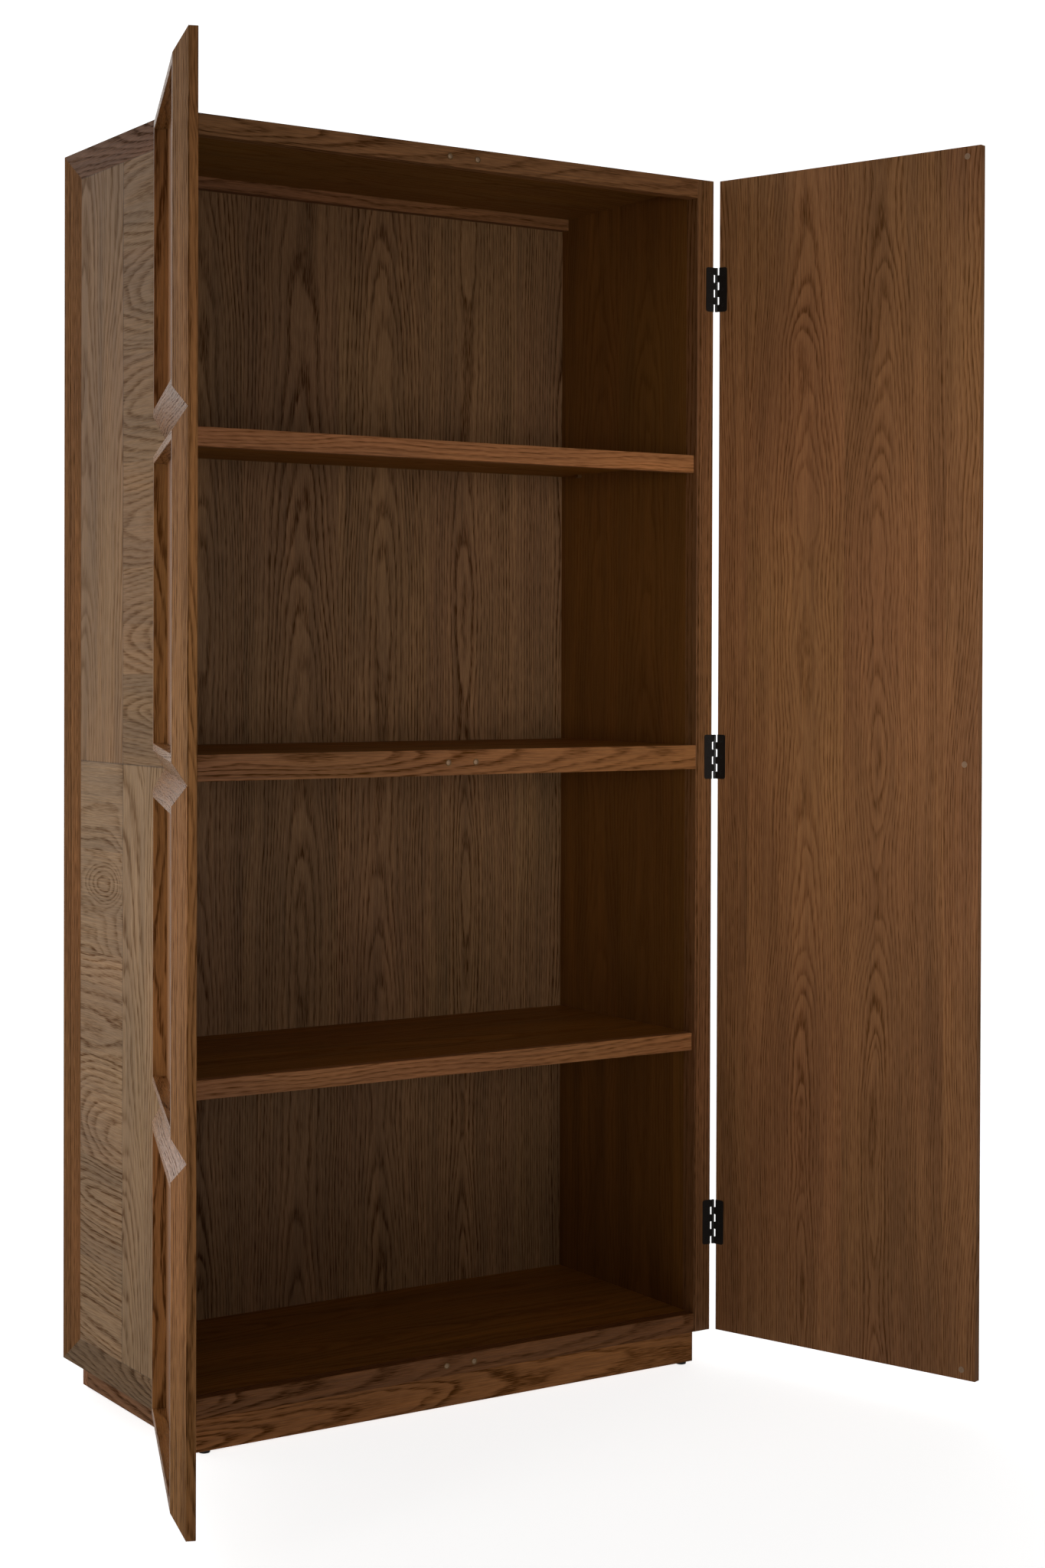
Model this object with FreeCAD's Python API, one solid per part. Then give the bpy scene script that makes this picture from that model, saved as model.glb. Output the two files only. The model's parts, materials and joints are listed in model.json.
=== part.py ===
import FreeCAD, Part
import math
import os

# A tall two-door storage cabinet in oak on a recessed plinth. Each door is a slab that carries four
# stacked coffers of mitred moulding. Inside are one fixed shelf and two loose shelves on spade pins.
# The frame has its origin on the floor at the middle of the back, the front faces -Y, +Z is up.
# All sizes are millimetres. The doors are drawn closed and then swung to the rest pose.

# Carcass, over its outside
carcass_width = 1008.0
carcass_depth = 432.0
carcass_height = 1976.0
side_thickness = 34.0
skin_thickness = 8.0
post_depth = 32.0
back_stile_width = 70.0
skin_rail_width = 46.0
arris = 0.6

# Rails and panels that close the carcass
edge_rail_height = 32.0
edge_rail_depth = 24.0
cap_thickness = 12.0
nailing_rail_depth = 19.0
back_thickness = 9.0
back_recess = 18.0
rebate_width = 10.0
rebate_clearance = 0.4

# Fixed shelf at half height
fixed_rail_height = 41.0
fixed_board_thickness = 18.0

# Loose shelves, placed by the height of their tops above the carcass bottom
upper_shelf_top = 1505.0
lower_shelf_top = 514.0
shelf_board_thickness = 13.0
shelf_lip_height = 30.0
shelf_lip_depth = 20.0
shelf_set_back = 7.0
shelf_end_gap = 1.0
shelf_back_gap = 1.0
pin_diameter = 5.0
pin_shank = 10.0
pin_clearance = 0.05
spade_reach = 9.0
spade_width = 10.0
spade_thickness = 5.0
pin_from_edge = 60.0

# Plinth and glides
plinth_height = 50.0
plinth_side_inset = 35.0
plinth_front_inset = 2.0
plinth_board = 18.0
plinth_block = 40.0
glide_height = 4.0
glide_diameter = 18.0

# Doors
door_gap = 2.0
door_middle_gap = 3.0
slab_thickness = 12.0
coffer_rows = 4
moulding_height = 20.0
moulding_bevel = 29.0
moulding_rim = 11.0
moulding_land = 1.0
left_door_open = 111.6
right_door_open = 108.1

# Butt hinges, three to a door
hinge_length = 76.0
hinge_from_end = 186.0
leaf_width = 16.0
leaf_thickness = 0.9
leaf_corner = 4.0
axis_offset = 5.5
barrel_diameter = 5.0
hinge_pin_diameter = 2.5
hinge_clearance = 0.1
knuckle_count = 6
knuckle_gap = 0.3

# Magnetic catches, a pair on each of the three front rails
catch_spacing = 52.0
cup_diameter = 11.0
cup_wall = 1.5
cup_depth = 8.0
cup_clearance = 0.05
catch_proud = 0.5
strike_diameter = 10.0
strike_thickness = 0.7

# Flats of the thin bars that repeat, which keep the model light
bar_flats = 12

# Places that follow from the sizes above
half_width = carcass_width / 2
inner = half_width - side_thickness
skin_inside = half_width - skin_thickness
back = 0.0
front = back - carcass_depth
back_face = back - back_recess
bottom = glide_height + plinth_height
top = bottom + carcass_height
middle = bottom + carcass_height / 2
rail_back = front + edge_rail_depth
cap_bottom = top - cap_thickness
floor_top = bottom + edge_rail_height
floor_bottom = floor_top - cap_thickness
fixed_top = middle + fixed_rail_height / 2
fixed_bottom = middle - fixed_rail_height / 2
core_front = front + post_depth
door_back = front - door_gap
slab_width = half_width - door_middle_gap / 2
axis_y = front - door_gap / 2
hinge_centres = [bottom + hinge_from_end, middle, top - hinge_from_end]
catch_heights = [bottom + edge_rail_height / 2, middle, top - edge_rail_height / 2]
shelf_tops = {"upper": bottom + upper_shelf_top, "lower": bottom + lower_shelf_top}
pin_rows = [front + shelf_set_back + pin_from_edge, back_face - pin_from_edge]

X_AXIS = FreeCAD.Vector(1, 0, 0)
Y_AXIS = FreeCAD.Vector(0, 1, 0)
Z_AXIS = FreeCAD.Vector(0, 0, 1)
ORIGIN = FreeCAD.Vector(0, 0, 0)


def board(x0, x1, y0, y1, z0, z1):
    """A plain board between two corners."""
    return Part.makeBox(x1 - x0, y1 - y0, z1 - z0, FreeCAD.Vector(x0, y0, z0))


def eased(shape):
    """The same board with its sharp arrises taken off."""
    return shape.makeChamfer(arris, shape.Edges)


def prism(points, direction):
    """A flat outline pushed along a direction."""
    outline = Part.makePolygon([FreeCAD.Vector(*p) for p in points + points[:1]])
    return Part.Face(outline).extrude(direction)


def rod(diameter, length, start, direction):
    """A round bar from its start point."""
    return Part.makeCylinder(diameter / 2, length, start, direction)


def flat_bar(across, length, start, direction):
    """A thin bar from its start point, along X or Z, with flats in place of its round."""
    half_turn = math.pi / bar_flats
    reach = across / 2 / math.cos(half_turn)
    side = direction.cross(Y_AXIS)
    corners = []
    for i in range(bar_flats):
        angle = (2 * i + 1) * half_turn
        corners.append(start + side * (reach * math.cos(angle)) + Y_AXIS * (reach * math.sin(angle)))
    return Part.Face(Part.makePolygon(corners + corners[:1])).extrude(direction * length)


def mirrored(shape):
    """The twin of a shape on the other side of the cabinet."""
    return shape.mirror(ORIGIN, X_AXIS)


def side_core():
    """Right-hand core behind the post, rebated for the back and bored for the shelf pins."""
    core = board(inner, skin_inside, core_front, back, bottom, top)
    rebate = board(inner, inner + rebate_width, back_face, back, bottom, top)
    core = core.cut(rebate)
    for shelf_top in shelf_tops.values():
        height = shelf_top - shelf_board_thickness - spade_thickness / 2
        for row in pin_rows:
            start = FreeCAD.Vector(inner, row, height)
            bore = flat_bar(pin_diameter + 2 * pin_clearance, pin_shank + pin_clearance, start, X_AXIS)
            core = core.cut(bore)
    return core


def side_skin():
    """Right-hand face: a mitred stile and rails round four fields of crossed veneer."""
    push = X_AXIS * skin_thickness
    stile_edge = back - back_stile_width
    upper_edge = top - skin_rail_width
    lower_edge = bottom + skin_rail_width
    column = (core_front + stile_edge) / 2
    x = skin_inside
    upper_mitre = [(x, back, top), (x, stile_edge, upper_edge)]
    lower_mitre = [(x, back, bottom), (x, stile_edge, lower_edge)]
    stile = [lower_mitre[0], upper_mitre[0], upper_mitre[1], lower_mitre[1]]
    upper = [(x, core_front, top), *upper_mitre, (x, core_front, upper_edge)]
    lower = [(x, core_front, bottom), *lower_mitre, (x, core_front, lower_edge)]
    return {
        "back_stile": prism(stile, push),
        "top_rail": prism(upper, push),
        "bottom_rail": prism(lower, push),
        "field_upper_back": board(x, half_width, column, stile_edge, middle, upper_edge),
        "field_upper_front": board(x, half_width, core_front, column, middle, upper_edge),
        "field_lower_back": board(x, half_width, column, stile_edge, lower_edge, middle),
        "field_lower_front": board(x, half_width, core_front, column, lower_edge, middle),
    }


def catch_bores(rail, height):
    """A front rail with its two blind bores for the catches."""
    for x in (-catch_spacing / 2, catch_spacing / 2):
        start = FreeCAD.Vector(x, front, height)
        bore = rod(cup_diameter + 2 * cup_clearance, cup_depth - catch_proud + cup_clearance, start, Y_AXIS)
        rail = rail.cut(bore)
    return rail


def catches():
    """Six brass cups, each with the round magnet that it holds."""
    cups = []
    magnets = []
    magnet_diameter = cup_diameter - 2 * cup_wall
    for height in catch_heights:
        for x in (-catch_spacing / 2, catch_spacing / 2):
            face = FreeCAD.Vector(x, front - catch_proud, height)
            pocket = rod(magnet_diameter, cup_depth - cup_wall, face, Y_AXIS)
            cups.append(rod(cup_diameter, cup_depth, face, Y_AXIS).cut(pocket))
            magnets.append(pocket)
    return Part.makeCompound(cups), Part.makeCompound(magnets)


def loose_shelf(shelf_top):
    """Thin board with a deeper lip along its front edge."""
    end = inner - shelf_end_gap
    lip_front = front + shelf_set_back
    lip_back = lip_front + shelf_lip_depth
    panel_back = back_face - shelf_back_gap
    panel = board(-end, end, lip_back, panel_back, shelf_top - shelf_board_thickness, shelf_top)
    lip = eased(board(-end, end, lip_front, lip_back, shelf_top - shelf_lip_height, shelf_top))
    return panel, lip


def spade_pins():
    """Four pins to a shelf: a round shank in the side and a flat tongue under the board."""
    pins = []
    for shelf_top in shelf_tops.values():
        seat = shelf_top - shelf_board_thickness
        for row in pin_rows:
            shank_start = FreeCAD.Vector(inner, row, seat - spade_thickness / 2)
            shank = flat_bar(pin_diameter, pin_shank, shank_start, X_AXIS)
            tongue = board(inner - spade_reach, inner, row - spade_width / 2, row + spade_width / 2,
                           seat - spade_thickness, seat)
            pin = shank.fuse(tongue)
            pins += [pin, mirrored(pin)]
    return Part.makeCompound(pins)


def plinth():
    """Four boards, a glue block in each corner and a glide under each block."""
    end = half_width - plinth_side_inset
    face = front + plinth_front_inset
    behind_front = face + plinth_board
    before_back = back - plinth_board
    side = eased(board(end - plinth_board, end, behind_front, before_back, glide_height, bottom))
    blocks = []
    glides = []
    for block_x in (plinth_board - end, end - plinth_board - plinth_block):
        for block_y in (behind_front, before_back - plinth_block):
            blocks.append(board(block_x, block_x + plinth_block, block_y, block_y + plinth_block,
                                glide_height, bottom))
    for glide_x in (-end + glide_diameter, end - glide_diameter):
        for glide_y in (face + plinth_board / 2, back - plinth_board / 2):
            glides.append(rod(glide_diameter, glide_height, FreeCAD.Vector(glide_x, glide_y, 0), Z_AXIS))
    return {
        "plinth_front": eased(board(-end, end, face, behind_front, glide_height, bottom)),
        "plinth_back": eased(board(-end, end, before_back, back, glide_height, bottom)),
        "plinth_left": mirrored(side),
        "plinth_right": side,
        "plinth_blocks": Part.makeCompound(blocks),
        "glides": Part.makeCompound(glides),
    }


def moulding(run):
    """One mitred length, drawn along X with its outer edge on the X axis and its back on the slab."""
    width = moulding_bevel + moulding_rim
    section = [
        (-run / 2, 0, 0),
        (-run / 2, 0, moulding_land),
        (-run / 2, moulding_bevel, moulding_height),
        (-run / 2, width - arris, moulding_height),
        (-run / 2, width, moulding_height - arris),
        (-run / 2, width, 0),
    ]
    mitre = [(-run / 2, 0, 0), (run / 2, 0, 0), (run / 2 - width, width, 0), (width - run / 2, width, 0)]
    return prism(section, X_AXIS * run).common(prism(mitre, Z_AXIS * moulding_height))


def coffer(wide, high):
    """Four mouldings mitred round a recess, lying flat with the middle at the origin."""
    lengths = []
    for turn in (0, 90, 180, 270):
        run, offset = (high, wide / 2) if turn in (90, 270) else (wide, high / 2)
        piece = moulding(run)
        piece.translate(FreeCAD.Vector(0, -offset, 0))
        piece.rotate(ORIGIN, Z_AXIS, turn)
        lengths.append(piece)
    return Part.makeCompound(lengths)


def knuckles(first):
    """Heights of every second knuckle of a hinge, measured from its top end."""
    step = hinge_length / knuckle_count
    half_gap = knuckle_gap / 2
    return [(i * step + half_gap, (i + 1) * step - half_gap) for i in range(first, knuckle_count, 2)]


def hinge_leaf(height, first, seat, lift, bore):
    """Right-hand leaf on its seat, with rounded corners and the knuckles that it wraps round the pin."""
    axis_x = half_width + axis_offset
    low = min(seat, seat + lift)
    high = max(seat, seat + lift)
    far_edge = half_width - leaf_width
    foot = height - hinge_length / 2
    leaf = board(far_edge, half_width, low, high, foot, foot + hinge_length)
    far_edges = [edge for edge in leaf.Edges if edge.BoundBox.XMax < half_width]
    corners = [edge for edge in far_edges if edge.BoundBox.ZLength < leaf_corner]
    leaf = leaf.makeFillet(leaf_corner, corners)
    hole_start = FreeCAD.Vector(axis_x, axis_y, height - hinge_length)
    hole = flat_bar(bore, 2 * hinge_length, hole_start, Z_AXIS)
    for above, below in knuckles(first):
        upper = foot + hinge_length - above
        lower = foot + hinge_length - below
        ring = flat_bar(barrel_diameter, upper - lower, FreeCAD.Vector(axis_x, axis_y, lower), Z_AXIS)
        tab = board(half_width, axis_x, low, high, lower, upper)
        leaf = leaf.fuse(ring.fuse(tab).cut(hole))
    return leaf.removeSplitter()


def hinges():
    """Right-hand hinges: leaves on the post, leaves on the door and the pins that join them."""
    case_leaves = []
    door_leaves = []
    pins = []
    door_bore = hinge_pin_diameter + 2 * hinge_clearance
    for height in hinge_centres:
        case_leaves.append(hinge_leaf(height, 0, front, -leaf_thickness, hinge_pin_diameter))
        door_leaves.append(hinge_leaf(height, 1, door_back, leaf_thickness, door_bore))
        pin_foot = FreeCAD.Vector(half_width + axis_offset, axis_y, height - hinge_length / 2)
        pins.append(flat_bar(hinge_pin_diameter, hinge_length, pin_foot, Z_AXIS))
    return Part.makeCompound(case_leaves), Part.makeCompound(door_leaves), Part.makeCompound(pins)


def closed_right_door():
    """Slab, coffers and strikes of the right-hand door, shut."""
    inner_edge = half_width - slab_width
    slab_face = door_back - slab_thickness
    pieces = {"door_slab": eased(board(inner_edge, half_width, slab_face, door_back, bottom, top))}
    row_height = carcass_height / coffer_rows
    for row in range(coffer_rows):
        frame = coffer(slab_width, row_height)
        frame.rotate(ORIGIN, X_AXIS, 90)
        row_middle = bottom + (row + 0.5) * row_height
        frame.translate(FreeCAD.Vector(inner_edge + slab_width / 2, slab_face, row_middle))
        pieces["door_coffer_%d" % (row + 1)] = frame
    strikes = []
    for height in catch_heights:
        seat = FreeCAD.Vector(catch_spacing / 2, door_back, height)
        strikes.append(rod(strike_diameter, strike_thickness, seat, Y_AXIS))
    pieces["strikes"] = Part.makeCompound(strikes)
    return pieces


def carcass():
    """Everything that stands still, by name."""
    post = eased(board(inner, half_width, front, core_front, bottom, top))
    pieces = {}
    for name, half in {"post": post, "core": side_core(), **side_skin()}.items():
        pieces["left_" + name] = mirrored(half)
        pieces["right_" + name] = half
    bottom_rail = eased(board(-inner, inner, front, rail_back, bottom, floor_top))
    fixed_rail = eased(board(-inner, inner, front, rail_back, fixed_bottom, fixed_top))
    top_rail = eased(board(-inner, inner, front, rail_back, top - edge_rail_height, top))
    pieces["bottom_front_rail"] = catch_bores(bottom_rail, catch_heights[0])
    pieces["fixed_shelf_rail"] = catch_bores(fixed_rail, catch_heights[1])
    pieces["top_front_rail"] = catch_bores(top_rail, catch_heights[2])
    pieces["top_panel"] = board(-inner, inner, rail_back, back, cap_bottom, top)
    pieces["top_back_rail"] = board(-inner, inner, back_face - nailing_rail_depth, back_face,
                                    top - edge_rail_height, cap_bottom)
    pieces["floor_panel"] = board(-inner, inner, rail_back, back, floor_bottom, floor_top)
    pieces["bottom_back_rail"] = board(-inner, inner, back - edge_rail_depth, back, bottom, floor_bottom)
    fixed_under = fixed_top - fixed_board_thickness
    pieces["fixed_shelf_board"] = board(-inner, inner, rail_back, back_face, fixed_under, fixed_top)
    back_end = inner + rebate_width - rebate_clearance
    panel = board(-back_end, back_end, back_face, back_face + back_thickness, floor_top, cap_bottom)
    pieces["back_panel"] = panel
    pieces["shelf_pins"] = spade_pins()
    pieces["catch_cups"], pieces["catch_magnets"] = catches()
    pieces.update(plinth())
    return pieces


nodes = carcass()
for place, shelf_height in shelf_tops.items():
    nodes[place + "_shelf_board"], nodes[place + "_shelf_lip"] = loose_shelf(shelf_height)

case_leaves, door_leaves, hinge_pins = hinges()
right_door = closed_right_door()
right_door["door_leaves"] = door_leaves
nodes["right_case_leaves"] = case_leaves
nodes["left_case_leaves"] = mirrored(case_leaves)
nodes["right_hinge_pins"] = hinge_pins
nodes["left_hinge_pins"] = mirrored(hinge_pins)

right_axis = FreeCAD.Vector(half_width + axis_offset, axis_y, 0)
left_axis = FreeCAD.Vector(-half_width - axis_offset, axis_y, 0)
for name, shut in right_door.items():
    nodes["left_" + name] = mirrored(shut).rotated(left_axis, Z_AXIS, -left_door_open)
    nodes["right_" + name] = shut.rotated(right_axis, Z_AXIS, right_door_open)

os.makedirs("parts", exist_ok=True)
for name, shape in nodes.items():
    shape.exportStep("parts/%s.step" % name)
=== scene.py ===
import json
import math

import bmesh
import bpy
from mathutils import Matrix, Vector


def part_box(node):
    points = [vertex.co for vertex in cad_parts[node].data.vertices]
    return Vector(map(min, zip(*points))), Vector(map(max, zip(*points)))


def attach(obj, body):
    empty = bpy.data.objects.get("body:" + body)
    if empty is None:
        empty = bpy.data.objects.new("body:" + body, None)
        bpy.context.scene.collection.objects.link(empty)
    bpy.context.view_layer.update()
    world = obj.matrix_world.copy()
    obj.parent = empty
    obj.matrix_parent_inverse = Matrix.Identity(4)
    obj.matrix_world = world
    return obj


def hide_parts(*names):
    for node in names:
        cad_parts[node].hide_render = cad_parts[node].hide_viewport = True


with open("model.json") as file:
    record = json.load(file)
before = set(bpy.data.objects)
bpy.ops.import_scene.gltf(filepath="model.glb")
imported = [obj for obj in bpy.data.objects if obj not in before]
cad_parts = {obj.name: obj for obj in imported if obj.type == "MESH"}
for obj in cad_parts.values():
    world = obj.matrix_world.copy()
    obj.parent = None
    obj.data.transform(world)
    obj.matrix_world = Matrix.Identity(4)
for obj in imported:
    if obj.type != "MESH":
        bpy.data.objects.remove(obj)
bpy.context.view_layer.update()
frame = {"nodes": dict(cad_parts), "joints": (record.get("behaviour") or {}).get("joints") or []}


# Side cores: blockboard panels with an oak veneer on the inside, laid in tall leaves.
# They are rebated for the back panel and bored for the shelf pins.
def linear(hex_colour):
    """An sRGB hex colour as linear RGBA."""
    parts = [int(hex_colour[i:i + 2], 16) / 255 for i in (1, 3, 5)]
    return [c / 12.92 if c <= 0.04045 else ((c + 0.055) / 1.055) ** 2.4 for c in parts] + [1.0]


def add(tree, kind, settings=None, links=None):
    """One node with its settings; its inputs are linked or given a value."""
    made = tree.nodes.new(kind)
    for name, value in (settings or {}).items():
        setattr(made, name, value)
    for key, value in (links or {}).items():
        if isinstance(value, bpy.types.NodeSocket):
            tree.links.new(value, made.inputs[key])
        else:
            made.inputs[key].default_value = value
    return made


def oak(name, light, dark, along, across, centre, pith=(0, 70), ring=5.5, leaf=None, line=None, mitre=None,
        knot=None, seed=0, tilt=0.02, swell=55, wave=5, contrast=1.0, gloss=0.3, rough=0.46):
    """Stained oak under a matt lacquer. It gives the eye pale late wood between dark rings of open
    pores, which shine less than the wood, and a slow change of tone along the board.

    along and across are the grain and the width of the board in the row frame, and centre is the
    middle of its face. Sizes are millimetres: pith is where the rings centre (off the middle of the
    width, and below the face), ring is a year's growth, swell and wave are how far the rings move
    over half a metre and over a hand's width, leaf is the width of the veneer leaves, line is half
    the size of a panel whose glued edges show, mitre is half the size of a frame whose upper and
    lower lengths have their grain across, and knot is where a knot lies across and along the board
    and how far it turns the rings. tilt is the slope of the rings along the board, seed tells
    boards apart, and contrast, gloss and rough set the depth of the rings and the lacquer's shine.
    """
    finish = bpy.data.materials.new(name)
    finish.use_nodes = True
    tree = finish.node_tree
    tree.nodes.clear()

    # The board's own axes in millimetres: X across it, Y through it and Z along the grain.
    along, across = Vector(along).normalized(), Vector(across).normalized()
    turn = Matrix((across, along.cross(across), along))
    where = add(tree, "ShaderNodeTexCoord").outputs["Object"]
    board = add(tree, "ShaderNodeMapping", None, {
        "Vector": where, "Scale": (1000, 1000, 1000), "Rotation": turn.to_euler(),
        "Location": turn @ Vector(centre) * -1000})
    spot = board.outputs["Vector"]
    axes = add(tree, "ShaderNodeSeparateXYZ", None, {"Vector": spot})

    # Past the mitres of a frame the grain turns to run across.
    if mitre:
        sizes = [add(tree, "ShaderNodeMath", {"operation": "ABSOLUTE"}, {0: axes.outputs[axis]})
                 for axis in "XZ"]
        lead = add(tree, "ShaderNodeMath", {"operation": "SUBTRACT"}, {
            0: sizes[1].outputs[0], 1: sizes[0].outputs[0]})
        level = add(tree, "ShaderNodeMath", {"operation": "GREATER_THAN"}, {
            0: lead.outputs[0], 1: mitre[1] - mitre[0]})
        laid = add(tree, "ShaderNodeCombineXYZ", None, {
            "X": axes.outputs["Z"], "Y": axes.outputs["Y"], "Z": axes.outputs["X"]})
        spot = add(tree, "ShaderNodeMix", {"data_type": "VECTOR"}, {
            "Factor": level.outputs[0], 4: spot, 5: laid.outputs[0]}).outputs[1]

    # Each veneer leaf comes from its own place in a log and has its own tone. Its figure lies off the
    # middle of the leaf by up to the share given as stray.
    tone = None
    if leaf:
        log_length, log_depth, stray = 1900, 24, 0.2
        count = add(tree, "ShaderNodeMath", {"operation": "DIVIDE"}, {0: axes.outputs["X"], 1: leaf})
        index = add(tree, "ShaderNodeMath", {"operation": "FLOOR"}, {0: count.outputs[0]})
        number = add(tree, "ShaderNodeMath", None, {0: index.outputs[0], 1: seed + 0.37})
        chance = add(tree, "ShaderNodeTexWhiteNoise", {"noise_dimensions": "1D"}, {"W": number.outputs[0]})
        start = add(tree, "ShaderNodeMath", {"operation": "MULTIPLY_ADD"}, {
            0: index.outputs[0], 1: -leaf, 2: leaf * (-0.5 - stray)})
        edge = add(tree, "ShaderNodeCombineXYZ", None, {"X": start.outputs[0], "Z": -log_length / 2})
        slide = add(tree, "ShaderNodeVectorMath", {"operation": "MULTIPLY_ADD"}, {
            0: chance.outputs["Color"], 1: (leaf * 2 * stray, log_depth, log_length), 2: edge.outputs[0]})
        spot = add(tree, "ShaderNodeVectorMath", None, {0: spot, 1: slide.outputs[0]}).outputs[0]
        tone = chance.outputs["Value"]

    # The rings bend slowly, and ripple.
    bend_width, bend_length, ripple_width, ripple_length = 380, 520, 40, 130
    slow = add(tree, "ShaderNodeMapping", None, {
        "Vector": spot, "Scale": (1 / bend_width, 1 / bend_width, 1 / bend_length),
        "Location": (seed * 3.7, seed * 1.9, seed * 5.3)})
    bend = add(tree, "ShaderNodeTexNoise", None, {"Vector": slow.outputs[0], "Scale": 1.0, "Detail": 1.0})
    bent = add(tree, "ShaderNodeVectorMath", {"operation": "MULTIPLY_ADD"}, {
        0: bend.outputs["Color"], 1: (swell * 0.5, swell, 0), 2: spot})
    quick = add(tree, "ShaderNodeMapping", None, {
        "Vector": spot, "Scale": (1 / ripple_width, 1 / ripple_width, 1 / ripple_length)})
    ripple = add(tree, "ShaderNodeTexNoise", None, {
        "Vector": quick.outputs[0], "Scale": 1.0, "Detail": 3.0})
    grown = add(tree, "ShaderNodeVectorMath", {"operation": "MULTIPLY_ADD"}, {
        0: ripple.outputs["Color"], 1: (wave, 2 * wave, 0), 2: bent.outputs[0]})

    # How far a point lies from the pith. A knot, which is longer along the grain, pushes the rings out.
    lean = add(tree, "ShaderNodeVectorMath", {"operation": "DOT_PRODUCT"}, {
        0: grown.outputs[0], 1: (0, 1, tilt)})
    side = add(tree, "ShaderNodeSeparateXYZ", None, {"Vector": grown.outputs[0]})
    section = add(tree, "ShaderNodeCombineXYZ", None, {
        "X": side.outputs["X"], "Y": lean.outputs["Value"]})
    away = add(tree, "ShaderNodeVectorMath", {"operation": "DISTANCE"}, {
        0: section.outputs[0], 1: (pith[0] + swell / 4 + wave / 2, swell / 2 + wave - pith[1], 0)})
    far = away.outputs["Value"]
    if knot:
        knot_x, knot_z, knot_reach = knot
        knot_stretch, knot_push = 0.45, 0.65
        face = add(tree, "ShaderNodeMapping", None, {
            "Vector": board.outputs["Vector"], "Scale": (1, 0, knot_stretch)})
        apart = add(tree, "ShaderNodeVectorMath", {"operation": "DISTANCE"}, {
            0: face.outputs[0], 1: (knot_x, 0, knot_stretch * knot_z)})
        branch = add(tree, "ShaderNodeMapRange", {"interpolation_type": "SMOOTHERSTEP"}, {
            "Value": apart.outputs["Value"], "From Max": knot_reach, "To Min": knot_push * knot_reach,
            "To Max": 0.0})
        far = add(tree, "ShaderNodeMath", None, {0: far, 1: branch.outputs[0]}).outputs[0]

    # Years differ in width and strength. Each starts with dark early wood and fades to pale late wood.
    season = add(tree, "ShaderNodeTexNoise", {"noise_dimensions": "1D"}, {
        "W": far, "Scale": 1 / (4 * ring), "Detail": 1.0})
    years = add(tree, "ShaderNodeMath", {"operation": "DIVIDE"}, {0: far, 1: ring})
    uneven = add(tree, "ShaderNodeMath", {"operation": "MULTIPLY_ADD"}, {
        0: season.outputs[0], 1: 2.4, 2: years.outputs[0]})
    strength = add(tree, "ShaderNodeMapRange", None, {
        "Value": season.outputs[0], "From Min": 0.35, "From Max": 0.65, "To Min": 0.5, "To Max": 1.15})
    growth = add(tree, "ShaderNodeMath", {"operation": "FRACT"}, {0: uneven.outputs[0]})
    early = add(tree, "ShaderNodeValToRGB", None, {"Fac": growth.outputs[0]})
    steps = early.color_ramp.elements
    steps[0].position, steps[0].color = 0.0, (1, 1, 1, 1)
    steps[1].position, steps[1].color = 1.0, (1, 1, 1, 1)
    for position, value in ((0.14, 0.85), (0.36, 0.3), (0.6, 0.06), (0.84, 0.05)):
        steps.new(position).color = (value, value, value, 1)

    # Pores break the early wood into short dark strokes. Real ones are about 0.3 mm wide, too fine to
    # show in the render, so they are drawn five times as wide.
    pore_width, pore_length = 1.5, 28
    thin = add(tree, "ShaderNodeMapping", None, {
        "Vector": spot, "Scale": (1 / pore_width, 1 / pore_width, 1 / pore_length),
        "Location": (seed * 11.0, 0, seed * 7.0)})
    pores = add(tree, "ShaderNodeTexNoise", None, {
        "Vector": thin.outputs[0], "Scale": 1.0, "Detail": 1.0, "Roughness": 0.6})
    streak = add(tree, "ShaderNodeMapRange", None, {
        "Value": pores.outputs["Fac"], "From Min": 0.34, "From Max": 0.7})
    broken = add(tree, "ShaderNodeMath", {"operation": "MULTIPLY_ADD"}, {
        0: streak.outputs[0], 1: 0.65, 2: 0.35})
    open_pores = add(tree, "ShaderNodeMath", {"operation": "MULTIPLY"}, {
        0: early.outputs["Color"], 1: broken.outputs[0]})
    rings = add(tree, "ShaderNodeMath", {"operation": "MULTIPLY"}, {
        0: open_pores.outputs[0], 1: strength.outputs[0]})
    shade = add(tree, "ShaderNodeMath", {"operation": "MULTIPLY_ADD", "use_clamp": True}, {
        0: streak.outputs[0], 1: 0.3, 2: rings.outputs[0]})
    amount = add(tree, "ShaderNodeMath", {"operation": "MULTIPLY"}, {0: shade.outputs[0], 1: contrast})
    colour = add(tree, "ShaderNodeMix", {"data_type": "RGBA"}, {
        "Factor": amount.outputs[0], 6: linear(light), 7: linear(dark)})

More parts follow.
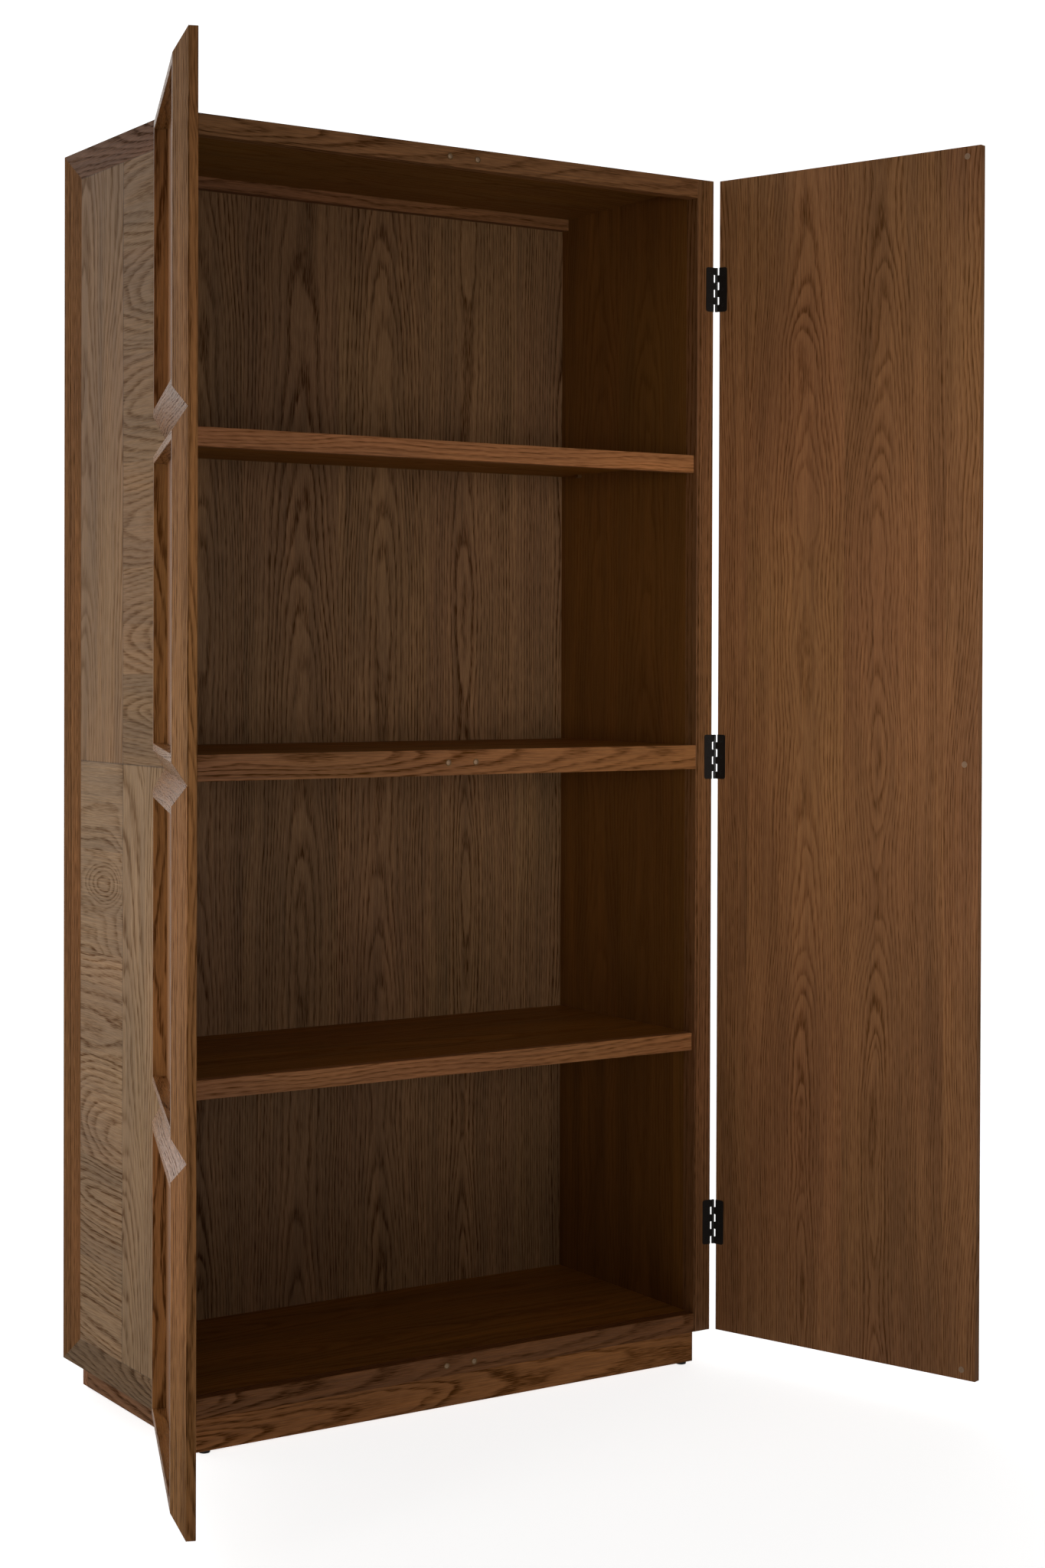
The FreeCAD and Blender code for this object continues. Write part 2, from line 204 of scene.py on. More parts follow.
    # The tone drifts in clouds and from fibre to fibre, and differs between leaves. The fibres too are
    # drawn wider than real ones, so that they show.
    cloud_width, cloud_length, fibre_width, fibre_length = 38, 420, 2.4, 170
    broad = add(tree, "ShaderNodeMapping", None, {
        "Vector": spot, "Scale": (1 / cloud_width, 1 / cloud_width, 1 / cloud_length),
        "Location": (0, seed * 2.3, seed * 0.9)})
    cloud = add(tree, "ShaderNodeTexNoise", None, {"Vector": broad.outputs[0], "Scale": 1.0, "Detail": 1.0})
    value = add(tree, "ShaderNodeMapRange", None, {
        "Value": cloud.outputs["Fac"], "From Min": 0.25, "From Max": 0.75, "To Min": 0.82, "To Max": 1.18})
    fine = add(tree, "ShaderNodeMapping", None, {
        "Vector": spot, "Scale": (1 / fibre_width, 1 / fibre_width, 1 / fibre_length),
        "Location": (seed * 4.1, 0, seed * 3.3)})
    thread = add(tree, "ShaderNodeTexNoise", None, {"Vector": fine.outputs[0], "Scale": 1.0, "Detail": 1.0})
    fibre = add(tree, "ShaderNodeMapRange", None, {
        "Value": thread.outputs["Fac"], "From Min": 0.25, "From Max": 0.75,
        "To Min": 1 - 0.2 * contrast, "To Max": 1 + 0.2 * contrast})
    value = add(tree, "ShaderNodeMath", {"operation": "MULTIPLY"}, {
        0: value.outputs[0], 1: fibre.outputs[0]})
    if tone:
        spread = add(tree, "ShaderNodeMath", {"operation": "MULTIPLY_ADD"}, {0: tone, 1: 0.2, 2: 0.9})
        value = add(tree, "ShaderNodeMath", {"operation": "MULTIPLY"}, {
            0: value.outputs[0], 1: spread.outputs[0]})

    # A dark glue line runs round a panel, just inside its edges.
    if line:
        line_start, line_end, line_tone = 1.8, 0.4, 0.55
        for axis, half in (("X", line[0]), ("Z", line[1])):
            size = add(tree, "ShaderNodeMath", {"operation": "ABSOLUTE"}, {0: axes.outputs[axis]})
            near = add(tree, "ShaderNodeMapRange", {"interpolation_type": "SMOOTHSTEP"}, {
                "Value": size.outputs[0], "From Min": half - line_start, "From Max": half - line_end,
                "To Min": 1.0, "To Max": line_tone})
            value = add(tree, "ShaderNodeMath", {"operation": "MULTIPLY"}, {
                0: value.outputs[0], 1: near.outputs[0]})
    drift = add(tree, "ShaderNodeSeparateXYZ", None, {"Vector": bend.outputs["Color"]})
    warmth = add(tree, "ShaderNodeMapRange", None, {
        "Value": drift.outputs["Z"], "From Min": 0.3, "From Max": 0.7, "To Min": 0.497, "To Max": 0.503})
    varied = add(tree, "ShaderNodeHueSaturation", None, {
        "Color": colour.outputs[2], "Hue": warmth.outputs[0], "Value": value.outputs[0]})

    # The lacquer fills the late wood but not the pores, which are duller, darker and a little sunk.
    dull = add(tree, "ShaderNodeMath", {"operation": "MULTIPLY_ADD"}, {
        0: amount.outputs[0], 1: 0.2, 2: rough})
    sheen = add(tree, "ShaderNodeMath", {"operation": "MULTIPLY_ADD", "use_clamp": True}, {
        0: amount.outputs[0], 1: -1.15 * gloss, 2: 1.3 * gloss})
    relief = add(tree, "ShaderNodeBump", {"invert": True}, {
        "Strength": 0.2, "Distance": 0.0004, "Height": streak.outputs[0]})
    surface = add(tree, "ShaderNodeBsdfPrincipled", None, {
        "Base Color": varied.outputs["Color"], "Roughness": dull.outputs[0], "IOR": 1.5,
        "Specular IOR Level": sheen.outputs[0], "Normal": relief.outputs["Normal"]})
    add(tree, "ShaderNodeOutputMaterial", None, {"Surface": surface.outputs["BSDF"]})
    return finish


def dress(node, finish):
    """Gives a CAD node its material."""
    for slot in frame["nodes"][node].material_slots:
        slot.material = finish


def face_of(node, normal):
    """Middle of the side of a node's box that faces along a normal."""
    low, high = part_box(node)
    half = (high - low) / 2
    return (low + high) / 2 + Vector([half[i] * normal[i] for i in range(3)])


UP, RIGHT, BACK = (0, 0, 1), (1, 0, 0), (0, 1, 0)
FRONT = (0, -1, 0)
inside_light, inside_dark = "#7c4f21", "#523011"
for side, facing in (("left", 1), ("right", -1)):
    node = side + "_core"
    dress(node, oak("oak_veneer_" + side + "_core", inside_light, inside_dark, UP, BACK,
                    face_of(node, (facing, 0, 0)), leaf=170, seed=3 + facing, contrast=0.5, gloss=0.12))

# Back panel: plywood veneered in oak, set into the rebates of the cores and screwed from behind.
# Its leaves run upright and are a little greyer than the rest.
dress("back_panel", oak("oak_veneer_back", "#8c6743", "#45270e", UP, RIGHT, face_of("back_panel", FRONT),
                        leaf=185, ring=5, pith=(0, 30), seed=7, swell=60, wave=4, gloss=0.2))

# Back rails: solid oak battens under the top and the floor, glued between the cores. The upper one
# stands in front of the back panel, and also takes the screws into a wall.
for place, node in enumerate(("top_back_rail", "bottom_back_rail")):
    dress(node, oak("oak_" + node, "#8c5b34", "#4c2b0f", RIGHT, UP, face_of(node, FRONT),
                    pith=(30, 60), seed=11 + place))

# Front posts: solid oak, straight grained, glued to the front edges of the cores. They carry the
# hinges and hide the cores' edges.
for number, side in enumerate(("left", "right")):
    node = side + "_post"
    dress(node, oak("oak_" + node, "#8b5b34", "#4b2b0f", UP, RIGHT, face_of(node, FRONT),
                    pith=(140, 40), ring=5, seed=13 + number, swell=24, wave=3))

# Side faces: a mitred frame of solid oak round four fields of veneer whose grain is crossed.
# The skins are glued to the cores, and fine dark lines show where they meet.
for number, side in enumerate(("left", "right")):
    out = (-1, 0, 0) if side == "left" else (1, 0, 0)
    node = side + "_back_stile"
    dress(node, oak("oak_" + node, "#976639", "#4a2e16", UP, BACK, face_of(node, out), pith=(160, 40),
                    ring=5, seed=17 + number, swell=24, wave=3, contrast=1.3, gloss=0.06, rough=0.6))
    for place, light, dark in (("top", "#7a491d", "#422409"), ("bottom", "#83623c", "#4c351e")):
        node = side + "_" + place + "_rail"
        dress(node, oak("oak_" + node, light, dark, BACK, UP, face_of(node, out), pith=(20, 35), ring=5,
                        seed=19 + number + 2 * len(place), tilt=0.08, gloss=0.15))
    for place, along, across, light, dark, ring, swell, wave, contrast, knot in (
            ("upper_back", UP, BACK, "#8e683e", "#523315", 5.5, 50, 5, 0.75, None),
            ("upper_front", BACK, UP, "#8e683e", "#523315", 5.5, 55, 4, 0.75, None),
            ("lower_back", BACK, UP, "#9d7a53", "#5f3f23", 8, 170, 7, 1.0, (278, -23, 55)),
            ("lower_front", UP, BACK, "#9d7a53", "#5f3f23", 6, 70, 6, 0.9, None)):
        node = side + "_field_" + place
        low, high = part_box(node)
        half_size = [abs((high - low).dot(Vector(axis))) * 1000 / 2 for axis in (across, along)]
        dress(node, oak("oak_veneer_" + node, light, dark, along, across, face_of(node, out), ring=ring,
                        leaf=165, line=half_size, knot=knot, seed=23 + number + len(node), swell=swell,
                        wave=wave, tilt=0.06, contrast=contrast, gloss=0.2))

# Front rails: solid oak, glued between the posts at the top, at the fixed shelf and at the floor.
# Each is bored for a pair of catches.
for number, (node, light, dark) in enumerate((
        ("top_front_rail", "#956338", "#512f11"), ("fixed_shelf_rail", "#a06839", "#573211"),
        ("bottom_front_rail", "#8a5526", "#4a2809"))):
    dress(node, oak("oak_" + node, light, dark, RIGHT, UP, face_of(node, FRONT),
                    pith=(12, 45), seed=41 + number, tilt=0.05))

# Top, floor and fixed shelf: boards veneered in oak, with the grain from side to side. They are glued
# between the cores, behind the front rails.
shelf_light, shelf_dark = "#986223", "#62380d"
for number, (node, light, dark) in enumerate((
        ("top_panel", "#8d5e28", "#5b3610"), ("floor_panel", shelf_light, shelf_dark),
        ("fixed_shelf_board", shelf_light, shelf_dark))):
    dress(node, oak("oak_veneer_" + node, light, dark, RIGHT, BACK, face_of(node, UP),
                    leaf=150, seed=47 + number, contrast=0.6, gloss=0.1))

# Plinth: four boards of solid oak with glue blocks in the corners. It is set in from the sides, is
# nearly flush in front, and is fixed under the bottom rails.
for number, node in enumerate(("plinth_front", "plinth_back")):
    dress(node, oak("oak_" + node, "#aa6931", "#5d330e", RIGHT, UP, face_of(node, FRONT),
                    pith=(-6, 30), ring=7, seed=53 + number, tilt=0.07, swell=70, wave=9))
for number, node in enumerate(("plinth_left", "plinth_right")):
    out = (1 if number else -1, 0, 0)
    dress(node, oak("oak_" + node, "#885a31", "#4a2c11", BACK, UP, face_of(node, out), pith=(8, 35),
                    seed=57 + number, gloss=0.1))
dress("plinth_blocks", oak("oak_plinth_blocks", inside_light, inside_dark, UP, RIGHT,
                           face_of("plinth_blocks", FRONT), seed=61))

# Loose shelves: a thin board veneered in oak, with a deeper lip of solid oak glued along its front
# edge. They lie on pins and lift off.
for number, place in enumerate(("upper", "lower")):
    node = place + "_shelf_board"
    dress(node, oak("oak_veneer_" + node, shelf_light, shelf_dark, RIGHT, BACK, face_of(node, UP),
                    leaf=150, seed=67 + number, contrast=0.6, gloss=0.1))
    node = place + "_shelf_lip"
    dress(node, oak("oak_" + node, "#ae7242", "#643a16", RIGHT, UP, face_of(node, FRONT),
                    pith=(40, 50), ring=5, seed=71 + number))

# Doors: a slab veneered in oak with four coffers glued to its front, each a mitred frame of solid oak
# moulding cut from its own board. The doors stand open at rest, so their grain is laid along the door
# as it stands.
door_joints = {joint["child"]: joint for joint in frame["joints"]}
slab_width, slab_thickness = 0.5025, 0.012
swings = {}
for side, sign, light, dark in (("left", -1, "#a46e3d", "#593517"), ("right", 1, "#9c6b43", "#5d3717")):
    swing = math.radians(-door_joints[side + "_door"]["range_deg"][0]) * sign
    swings[side] = Matrix.Rotation(swing, 4, "Z")
    wide = Vector((math.cos(swing), math.sin(swing), 0))
    back_of_door = Vector((-wide.y, wide.x, 0))
    node = side + "_door_slab"
    low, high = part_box(node)
    middle = (low + high) / 2 + back_of_door * (slab_thickness / 2)
    dress(node, oak("oak_veneer_" + node, light, dark, UP, wide, middle, leaf=190, ring=4.2, pith=(0, 35),
                    seed=79 + sign, swell=85, wave=5, tilt=0.03, contrast=0.9, gloss=0.15))
    # The pale tone of the coffers darkens from the lowest row to the highest. This is painted shade, darker
    # towards the top of the door.
    for row, tone in enumerate(("#ae7845", "#a67342", "#a06f40", "#9c6c3e"), 1):
        node = side + "_door_coffer_%d" % row
        low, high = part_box(node)
        half_size = slab_width * 1000 / 2, (high.z - low.z) * 1000 / 2
        dress(node, oak("oak_" + node, tone, "#593517", UP, wide, (low + high) / 2, pith=(60, 50), ring=3.6,
                        mitre=half_size, seed=83 + row, contrast=1.05, gloss=0.16, rough=0.25))


# Hinges: black oxide steel butts, three to a door. One leaf is screwed to the post, the other to the
# door, and their knuckles are rolled round a pin. Sizes are metres, in a hinge that is shut, with the
# pin upright at the origin and the post behind the leaf.
def plain_finish(name, light, dark, metallic, roughness, grit):
    """A fitting's finish with a slight change of tone and gloss at the size of its grit in mm.

    Real grit is far finer and would not show in the render, so it is drawn at a millimetre or more.
    """
    finish = bpy.data.materials.new(name)
    finish.use_nodes = True
    tree = finish.node_tree
    tree.nodes.clear()
    where = add(tree, "ShaderNodeTexCoord").outputs["Object"]
    grain = add(tree, "ShaderNodeTexNoise", None, {"Vector": where, "Scale": 1000 / grit, "Detail": 3.0})
    colour = add(tree, "ShaderNodeMix", {"data_type": "RGBA"}, {
        "Factor": grain.outputs["Fac"], 6: linear(light), 7: linear(dark)})
    gloss = add(tree, "ShaderNodeMapRange", None, {
        "Value": grain.outputs["Fac"], "To Min": roughness - 0.1, "To Max": roughness + 0.1})
    surface = add(tree, "ShaderNodeBsdfPrincipled", None, {
        "Base Color": colour.outputs[2], "Metallic": metallic, "Roughness": gloss.outputs[0]})
    add(tree, "ShaderNodeOutputMaterial", None, {"Surface": surface.outputs["BSDF"]})
    return finish


def spun(profile, sides=24):
    """A form made by spinning a profile of (radius, height) points round the z axis."""
    form = bmesh.new()
    points = [form.verts.new((radius, 0, height)) for radius, height in profile]
    edges = [form.edges.new(pair) for pair in zip(points, points[1:])]
    bmesh.ops.spin(form, geom=points + edges, cent=(0, 0, 0), axis=UP, dvec=(0, 0, 0),
                   angle=2 * math.pi, steps=sides, use_merge=True)
    return form


def crossed(form, slot):
    """Draws the rings of a slot, given as (radius, height, waist), in between four arms."""
    quarter, arm, margin, near = 90, 20, 5, 1e-6
    for vert in form.verts:
        angle = math.degrees(math.atan2(vert.co.y, vert.co.x))
        between_arms = (angle + margin) % quarter > arm + margin
        for radius, height, waist in slot:
            on_ring = abs(vert.co.xy.length - radius) < near and abs(vert.co.z - height) < near
            if on_ring and between_arms:
                vert.co.x *= waist / radius
                vert.co.y *= waist / radius
    return form


def set_in(shape, form, place):
    """Adds a copy of a form to a shape, in its place."""
    copy = bpy.data.meshes.new("copy")
    form.to_mesh(copy)
    copy.transform(place)
    shape.from_mesh(copy)
    bpy.data.meshes.remove(copy)


def finished(name, shape, finish, body, nodes=()):
    """The modelled shape as a piece that rides on a body and stands for CAD nodes."""
    merge_distance, sharp_angle = 1e-6, 35
    bmesh.ops.remove_doubles(shape, verts=shape.verts, dist=merge_distance)
    bmesh.ops.recalc_face_normals(shape, faces=shape.faces)
    mesh = bpy.data.meshes.new(name)
    shape.to_mesh(mesh)
    shape.free()
    mesh.shade_smooth()
    mesh.set_sharp_from_angle(angle=math.radians(sharp_angle))
    mesh.materials.append(finish)
    piece = bpy.data.objects.new(name, mesh)
    bpy.context.scene.collection.objects.link(piece)
    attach(piece, body)
    if nodes:
        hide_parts(*nodes)


def three_up(node, half):
    """Heights of the three like fittings in a node: the low one, the middle one and the high one."""
    low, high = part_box(node)
    return low.z + half, (low.z + high.z) / 2, high.z - half


# Black oxide is a thin dull film, so the leaves are nearly black with a weak, soft shine. The screws
# are a little greyer, and glint.
black_steel = plain_finish("black_oxide_steel", "#0f0b08", "#1b1611", 0.0, 0.45, 2.0)
screw_steel = plain_finish("blackened_screw_steel", "#2a2826", "#3b3835", 0.6, 0.4, 1.0)
hinge_length, leaf_width, leaf_thickness, leaf_corner = 0.076, 0.016, 0.0009, 0.004
leaf_edge, leaf_front = -0.0055, 0.0001
knuckles, knuckle_gap, barrel, pin = 6, 0.0003, 0.0025, 0.00125
head, head_depth, screw_spacing, hole_play = 0.0027, 0.0008, 0.027, 0.0001
slot_rim, slot_foot = (0.0016, -0.0001, 0.0006), (0.0005, -0.0007, 0.0003)
ease, pin_ease = 0.0002, 0.0003
half = hinge_length / 2
leaf_middle = leaf_edge - leaf_width / 2
facing_front = Matrix.Rotation(math.pi / 2, 4, "X")
screw_spots = [Matrix.Translation((leaf_middle, leaf_front, z * screw_spacing)) @ facing_front
               for z in (-1, 0, 1)]

# A leaf: two corners are rounded, the holes are cut and the face is drawn out to its thickness.
leaf_form = bmesh.new()
bmesh.ops.create_grid(
    leaf_form, x_segments=1, y_segments=1, size=0.5,
    matrix=screw_spots[1] @ Matrix.Diagonal((leaf_width, hinge_length, 1, 1)))
outer_corners = [v for v in leaf_form.verts if v.co.x < leaf_middle]
bmesh.ops.bevel(leaf_form, geom=outer_corners, offset=leaf_corner, affect="VERTICES", segments=6,
                profile=0.5, material=-1)
bmesh.ops.delete(leaf_form, geom=leaf_form.faces[:], context="FACES_ONLY")
for spot in screw_spots:
    bmesh.ops.create_circle(leaf_form, cap_ends=False, segments=24, radius=head + hole_play, matrix=spot)
bmesh.ops.triangle_fill(leaf_form, edges=leaf_form.edges[:], use_beauty=True)
back_of_leaf = bmesh.ops.extrude_face_region(leaf_form, geom=leaf_form.faces[:])["geom"]
bmesh.ops.translate(leaf_form, vec=(0, leaf_thickness, 0),
                    verts=[v for v in back_of_leaf if isinstance(v, bmesh.types.BMVert)])

# A knuckle with the tab that joins it to its leaf, the pin and a screw.
knuckle_length = hinge_length / knuckles - knuckle_gap
reach = knuckle_length / 2
knuckle_form = spun([(pin, -reach), (barrel - ease, -reach), (barrel, ease - reach), (barrel, reach - ease),
                     (barrel - ease, reach), (pin, reach), (pin, -reach)])
bmesh.ops.create_cube(
    knuckle_form, size=1,
    matrix=Matrix.Translation(((leaf_edge - pin) / 2, leaf_front + leaf_thickness / 2, 0))
    @ Matrix.Diagonal((-pin - leaf_edge, leaf_thickness, knuckle_length, 1)))
pin_form = spun([(0, -half), (pin - pin_ease, -half), (pin, pin_ease - half), (pin, half - pin_ease),
                 (pin - pin_ease, half), (0, half)])
screw_form = crossed(
    spun([(0, slot_foot[1]), slot_foot[:2], slot_rim[:2], (head - ease, 0), (head, -ease),
          (head, -head_depth), (0, -head_depth)]), [slot_foot, slot_rim])

for side, sign in (("left", -1), ("right", 1)):
    pin_x, pin_y, _ = door_joints[side + "_door"]["pos_m"]
    at_pin = Matrix.Translation((pin_x, pin_y, 0))
    heights = three_up(side + "_case_leaves", half)
    for leaf, body, first, stance in (
            ("case", "carcass", 0, at_pin @ Matrix.Diagonal((sign, 1, 1, 1))),
            ("door", side + "_door", 1, at_pin @ swings[side] @ Matrix.Diagonal((sign, -1, 1, 1)))):
        leaves, screws = bmesh.new(), bmesh.new()
        for height in heights:
            place = stance @ Matrix.Translation((0, 0, height))
            set_in(leaves, leaf_form, place)
            for i in range(first, knuckles, 2):
                up = half - (i + 0.5) * hinge_length / knuckles
                set_in(leaves, knuckle_form, place @ Matrix.Translation((0, 0, up)))
            for spot in screw_spots:
                set_in(screws, screw_form, place @ spot)
        finished(side + "_" + leaf + "_hinge_leaves", leaves, black_steel, body,
                 [side + "_" + leaf + "_leaves"])
        finished(side + "_" + leaf + "_hinge_screws", screws, screw_steel, body)
    pins = bmesh.new()
    for height in heights:
        set_in(pins, pin_form, at_pin @ Matrix.Translation((0, 0, height)))
    finished(side + "_hinge_pin_rods", pins, black_steel, "carcass", [side + "_hinge_pins"])

# Catches: brass cups pressed into the front rails, each with a round magnet in it, and on the doors a nickel
# plated steel strike for each, held by one screw. The brass is dull, drawn dark and brownish with a broad
# shine, so that a dark ring shows round each magnet. The nickel is pale and satin, and its colour is tinted
# warm brown: a painted reflection of the wood round it.
# The brass is drawn dark brown, which makes the dark ring round each magnet.
brass = plain_finish("dark_brown_brass", "#9c7850", "#80603c", 1.0, 0.5, 1.5)
# The magnets' colour is tinted warm brown: a painted reflection of the wood round them.
magnet_steel = plain_finish("nickelled_magnet", "#c6a788", "#ab8e72", 1.0, 0.65, 1.0)
# The strikes' colour is tinted warm brown too: a painted reflection of the wood round them.
strike_steel = plain_finish("nickelled_steel", "#b89a7e", "#9c826a", 1.0, 0.6, 1.5)
cup, bore, cup_depth, floor_depth, rim = 0.0055, 0.004, 0.008, 0.0065, 0.0003
magnet, magnet_sunk = 0.0039, 0.0002
cup_form = spun([(0, -cup_depth), (cup, -cup_depth), (cup, -rim), (cup - rim, 0), (bore + rim, 0),
                 (bore, -rim), (bore, -floor_depth), (0, -floor_depth)])
magnet_form = spun([(0, -floor_depth), (magnet, -floor_depth), (magnet, -magnet_sunk - ease),
                    (magnet - rim, -magnet_sunk), (0, -magnet_sunk)])
low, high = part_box("catch_cups")
cups, magnets = bmesh.new(), bmesh.new()
for height in three_up("catch_cups", cup):
    for x in (low.x + cup, high.x - cup):
        place = Matrix.Translation((x, low.y, height)) @ facing_front
        set_in(cups, cup_form, place)
        set_in(magnets, magnet_form, place)
finished("catch_cup_rings", cups, brass, "carcass", ["catch_cups"])
finished("catch_magnet_discs", magnets, magnet_steel, "carcass", ["catch_magnets"])

strike, strike_thickness, strike_hole, strike_head = 0.005, 0.0007, 0.0024, 0.0021
strike_rim, strike_foot = (0.0014, 0, 0.0005), (0.0008, -0.0005, 0.0003)
strike_form = crossed(
    spun([(0, -strike_thickness), (strike, -strike_thickness), (strike, -ease), (strike - ease, 0),
          (strike_hole, 0), (strike_hole - ease, -ease), (strike_head, 0), strike_rim[:2], strike_foot[:2],
          (0, strike_foot[1])]), [strike_rim, strike_foot])
facing_back = Matrix.Rotation(-math.pi / 2, 4, "X")
for side in ("left", "right"):
    low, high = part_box(side + "_strikes")
    strikes = bmesh.new()
    for height in three_up(side + "_strikes", strike):
        middle = Matrix.Translation(((low.x + high.x) / 2, (low.y + high.y) / 2, height))
        set_in(strikes, strike_form, middle @ swings[side] @ facing_back
               @ Matrix.Translation((0, 0, strike_thickness / 2)))
    finished(side + "_strike_plates", strikes, strike_steel, side + "_door",
             [side + "_strikes"])

# Back screws: zinc plated steel pan heads with crossed slots, which hold the back panel to the cores,
# the fixed shelf and the top rail. The zinc is a cool light grey with a fairly sharp shine.
zinc = plain_finish("zinc_plated_steel", "#9c9a94", "#7f7d78", 1.0, 0.4, 1.0)
pan, pan_sunk, pan_side, pan_shoulder = 0.0035, 0.001, 0.0006, (0.0026, 0.0016)
pan_rim, pan_foot = (0.0016, 0.002, 0.0007), (0.0006, 0.001, 0.0003)
pan_form = crossed(
    spun([(0, -pan_sunk), (pan, -pan_sunk), (pan, pan_side), pan_shoulder, pan_rim[:2], pan_foot[:2],
          (0, pan_foot[1])]), [pan_rim, pan_foot])
low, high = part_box("back_panel")
end_inset, side_inset, screws_up, screws_apart = 0.05, 0.006, 9, 0.16
rise = (high.z - low.z - 2 * end_inset) / (screws_up - 1)
spots = [(x, low.z + end_inset + i * rise) for x in (low.x + side_inset, high.x - side_inset)
         for i in range(screws_up)]
middles = [(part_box(node)[0].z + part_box(node)[1].z) / 2 for node in ("fixed_shelf_board", "top_back_rail")]
spots += [(i * screws_apart, z) for i in (-2, -1, 0, 1, 2) for z in middles]
screws = bmesh.new()
for x, z in spots:
    set_in(screws, pan_form, Matrix.Translation((x, high.y, z)) @ facing_back)
finished("back_screws", screws, zinc, "carcass")

# Shelf pins: brass spades, four under each loose shelf, whose shanks sit in bores in the cores.
# They are of the same dull brass as the cups.
dress("shelf_pins", brass)

# Glides: moulded nylon pads nailed under the corners of the plinth, which keep it off the floor.
# The nylon is nearly black and matt.
nylon = plain_finish("black_nylon", "#15130f", "#211e1a", 0.0, 0.6, 3.0)
glide, edge_round, edge_turn = 0.009, 0.0015, 0.0004
low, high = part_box("glides")
glide_form = spun([(0, low.z), (glide - edge_round, low.z), (glide - edge_turn, low.z + edge_turn),
                   (glide, low.z + edge_round), (glide, high.z), (0, high.z)])
glides = bmesh.new()
for x in (low.x + glide, high.x - glide):
    for y in (low.y + glide, high.y - glide):
        set_in(glides, glide_form, Matrix.Translation((x, y, 0)))
finished("glide_pads", glides, nylon, "carcass", ["glides"])

# Camera: it stands where the photograph was taken, in front and to the left, a little above half the
# cabinet's height, and level to within a degree. The lens's axis meets the picture above its middle.
photo_height, focal_pixels, axis_row, film_size = 2048, 3283.5, 898.5, 36
camera_spot = (-2.1274, -3.88, 1.2064)
yaw, pitch, roll = (math.radians(degrees) for degrees in (33.04, -0.624, -0.181))
level = Vector((math.sin(yaw), math.cos(yaw), 0))
sideways = Vector((math.cos(yaw), -math.sin(yaw), 0))
ahead = level * math.cos(pitch) + Vector(UP) * math.sin(pitch)
upright = Vector(UP) * math.cos(pitch) - level * math.sin(pitch)
camera_right = sideways * math.cos(roll) - upright * math.sin(roll)
camera_up = sideways * math.sin(roll) + upright * math.cos(roll)
lens = bpy.data.cameras.new("camera")
lens.sensor_width = film_size
lens.lens = film_size * focal_pixels / photo_height
lens.shift_y = (axis_row - photo_height / 2) / photo_height
lens.clip_end = 100
camera = bpy.data.objects.new("camera", lens)
camera.matrix_world = Matrix.Translation(camera_spot) @ Matrix(
    (camera_right, camera_up, -ahead)).transposed().to_4x4()
bpy.context.scene.collection.objects.link(camera)
bpy.context.scene.camera = camera

# Studio: a floor and walls of white paper, and softboxes in front and to the left, at half height.
# The paper glows, so it stays white in the picture, and it throws no light back on the wood.
room_size = 30
floor_shape = bmesh.new()
bmesh.ops.create_grid(floor_shape, x_segments=1, y_segments=1, size=room_size)
wall_shape = floor_shape.copy()
bmesh.ops.delete(wall_shape, geom=wall_shape.faces[:], context="FACES_ONLY")
raised = bmesh.ops.extrude_edge_only(wall_shape, edges=wall_shape.edges[:])["geom"]
bmesh.ops.translate(wall_shape, vec=(0, 0, room_size),
                    verts=[v for v in raised if isinstance(v, bmesh.types.BMVert)])
for name, shape, brightness in (("floor", floor_shape, 0.82), ("walls", wall_shape, 1.0)):
    mesh = bpy.data.meshes.new(name)
    shape.to_mesh(mesh)
    shape.free()
    sheet = bpy.data.objects.new(name, mesh)
    sheet.visible_diffuse = False
    sheet.visible_glossy = False
    sheet.visible_shadow = name == "floor"
    bpy.context.scene.collection.objects.link(sheet)
    paper = bpy.data.materials.new("white_paper_" + name)
    paper.use_nodes = True
    for socket, value in (("Base Color", linear("#f6f6f5")), ("Roughness", 0.9),
                          ("Emission Color", (1, 1, 1, 1)), ("Emission Strength", brightness)):
        paper.node_tree.nodes["Principled BSDF"].inputs[socket].default_value = value
    mesh.materials.append(paper)

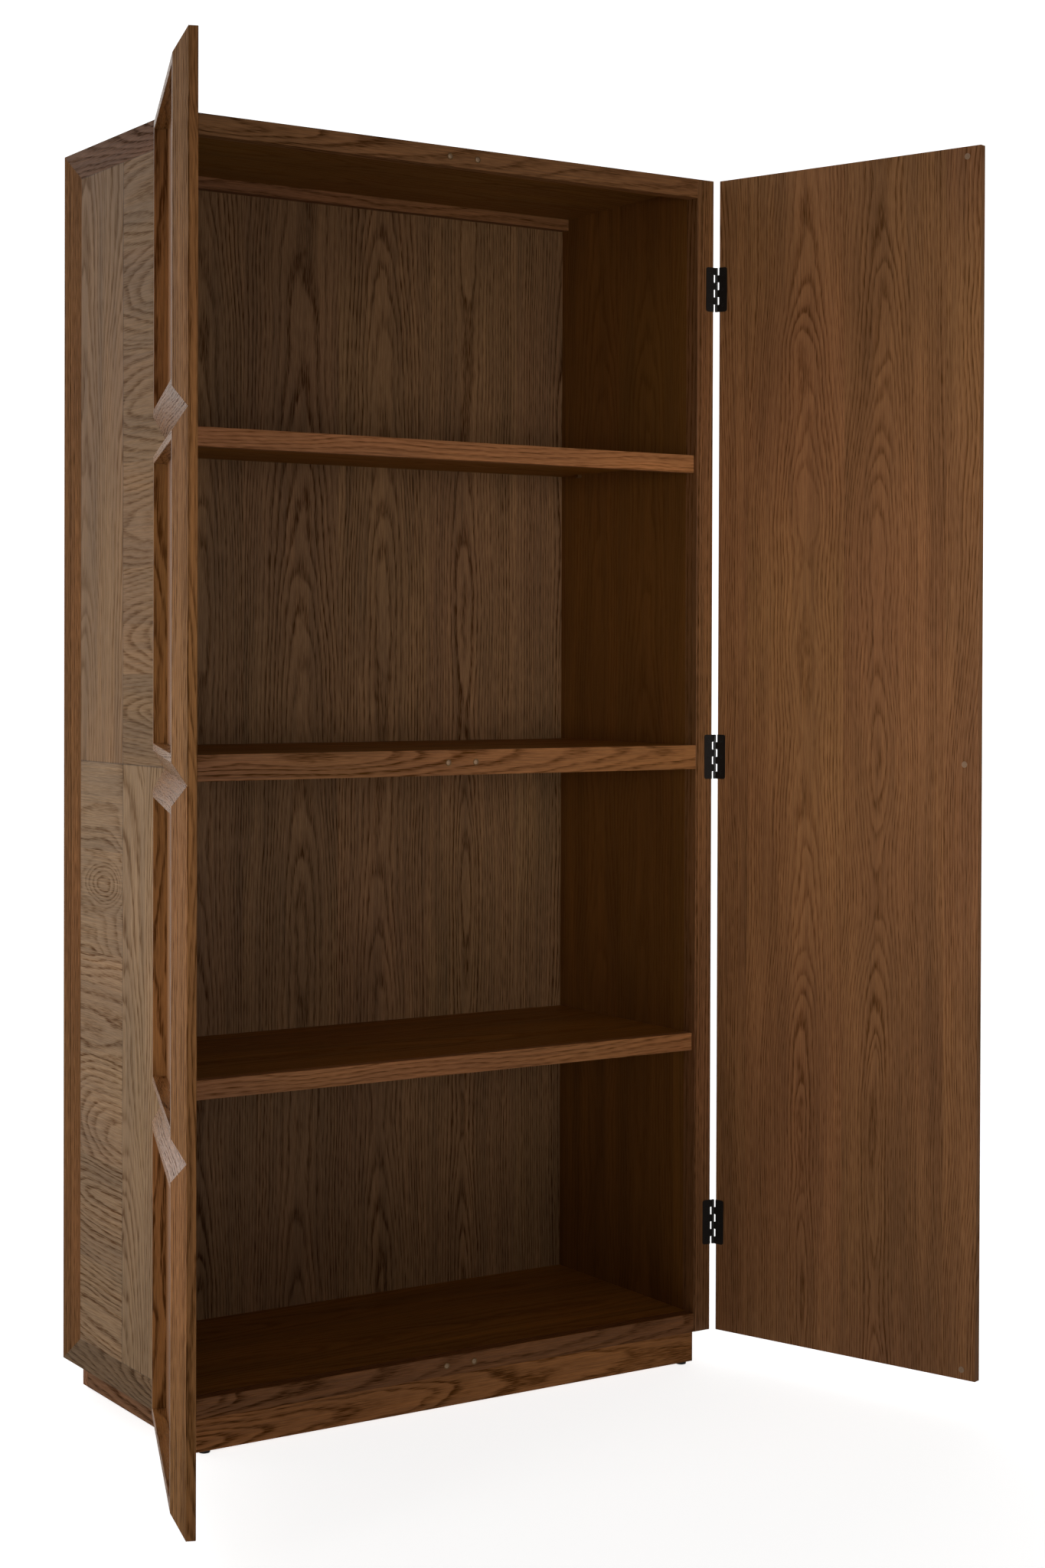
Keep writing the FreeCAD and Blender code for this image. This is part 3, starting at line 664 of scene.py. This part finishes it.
# The room's own light is dim in front, a little dimmer to the right, white behind and grey from below.
front_left, front_right, behind, below = 0.17, 0.12, 1.0, 0.34
world = bpy.data.worlds.new("studio")
bpy.context.scene.world = world
world.use_nodes = True
sky = world.node_tree
sky.nodes.clear()
way = add(sky, "ShaderNodeSeparateXYZ", None, {
    "Vector": add(sky, "ShaderNodeTexCoord").outputs["Generated"]})
rightward, backward, upward = [add(sky, "ShaderNodeMapRange", {"interpolation_type": "SMOOTHSTEP"}, {
    "Value": way.outputs[axis], "From Min": start, "From Max": end}).outputs[0]
    for axis, start, end in (("X", -0.3, 0.3), ("Y", 0.25, 0.65), ("Z", -0.3, -0.1))]
front_glow = add(sky, "ShaderNodeMix", None, {"Factor": rightward, 2: front_left, 3: front_right})
round_glow = add(sky, "ShaderNodeMix", None, {"Factor": backward, 2: front_glow.outputs[0], 3: behind})
all_glow = add(sky, "ShaderNodeMix", None, {"Factor": upward, 2: below, 3: round_glow.outputs[0]})
glow = add(sky, "ShaderNodeBackground", None, {"Color": (1, 1, 1, 1), "Strength": all_glow.outputs[0]})
add(sky, "ShaderNodeOutputWorld", None, {"Surface": glow.outputs[0]})

# Softboxes: the place, the aim and the size in metres, the beam in degrees and the power in watts.
for name, spot, aim, size, beam, power in (
    ("softbox_door", (-0.6, -3.3, 1.25), (0.55, -0.7, 1.3), 1.2, 40, 2.2),
    ("softbox_front", (0.2, -3.4, 1.15), (-0.2, 0, 1.1), 1.2, 80, 1.6),
    ("softbox_left", (-3.6, -1.3, 1.1), (-0.5, -0.45, 0.95), 1.5, 45, 3.8),
):
    lamp = bpy.data.lights.new(name, "AREA")
    lamp.size = size
    lamp.spread = math.radians(beam)
    lamp.energy = power
    light = bpy.data.objects.new(name, lamp)
    light.visible_camera = False
    light.matrix_world = Matrix.Translation(spot) @ (
        Vector(aim) - Vector(spot)).to_track_quat("-Z", "Y").to_matrix().to_4x4()
    bpy.context.scene.collection.objects.link(light)
bpy.context.scene.view_settings.view_transform = "Standard"
